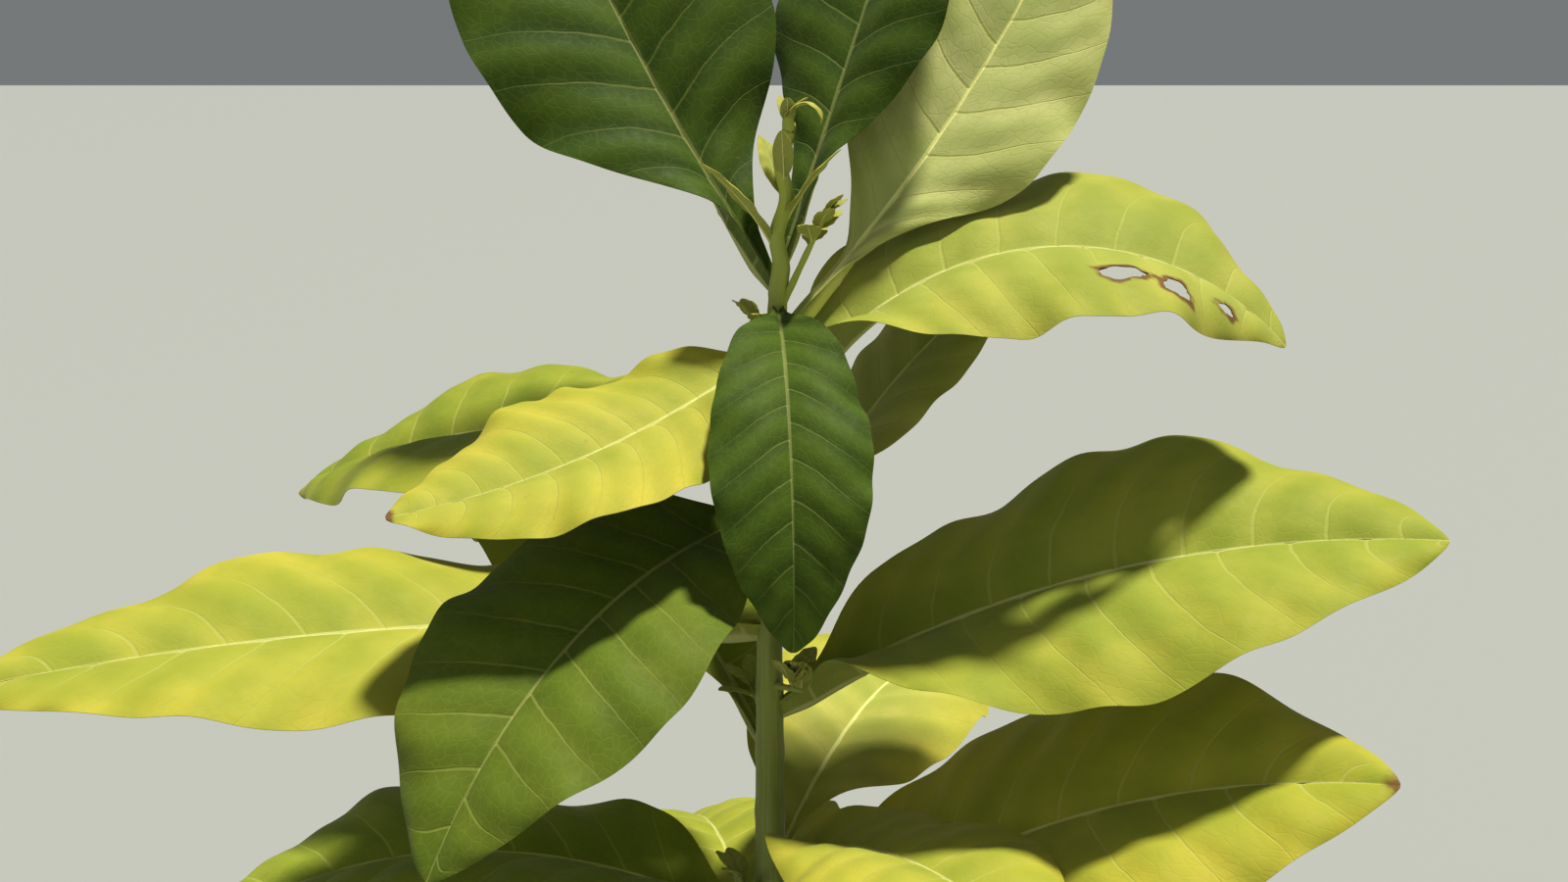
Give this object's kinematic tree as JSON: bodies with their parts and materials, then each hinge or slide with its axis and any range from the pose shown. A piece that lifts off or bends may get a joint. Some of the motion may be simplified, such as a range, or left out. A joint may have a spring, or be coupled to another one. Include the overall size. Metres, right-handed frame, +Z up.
{
  "type": "tobacco plant",
  "caption": "Field-grown crop plant: one upright leaning stem with large pointed oval leaves set round it, axil shoots and a slender budding tip.",
  "frame": {"origin": "centre of the flat cut under the stem at ground level", "axes": "+Z up the plant; the picture is taken looking along +Y, with +X to its right"},
  "size_m": [1.1449, 0.9916, 1.4986],
  "materials": {
    "stem": "satin green stem with fine ribs and leaf scars",
    "leaf": "soft matt leaf with pale veins",
    "young_growth": "soft pale young leaf"
  },
  "bodies": {
    "root": {"leaf_01": "leaf", "leaf_02": "leaf", "leaf_03": "leaf", "leaf_04": "leaf", "leaf_05": "leaf", "leaf_06": "leaf", "leaf_07": "leaf", "leaf_08": "leaf", "leaf_09": "leaf", "leaf_10": "leaf", "leaf_11": "leaf", "leaf_12": "leaf", "leaf_13": "leaf", "leaf_14": "leaf", "leaf_15": "leaf", "leaf_16": "leaf", "leaf_17": "leaf", "leaf_18": "leaf", "leaf_19": "leaf", "leaf_20": "leaf", "leaf_21": "leaf", "leaf_22": "leaf", "leaf_23": "leaf", "side_shoot_1": "young_growth", "side_shoot_2": "young_growth", "side_shoot_3": "young_growth", "side_shoot_4": "young_growth", "side_shoot_5": "young_growth", "stem": "stem", "tip_bud": "young_growth", "young_leaf_1": "young_growth", "young_leaf_2": "young_growth", "young_leaf_3": "young_growth", "young_leaf_4": "young_growth", "young_leaf_5": "young_growth"}
  },
  "joints": []
}
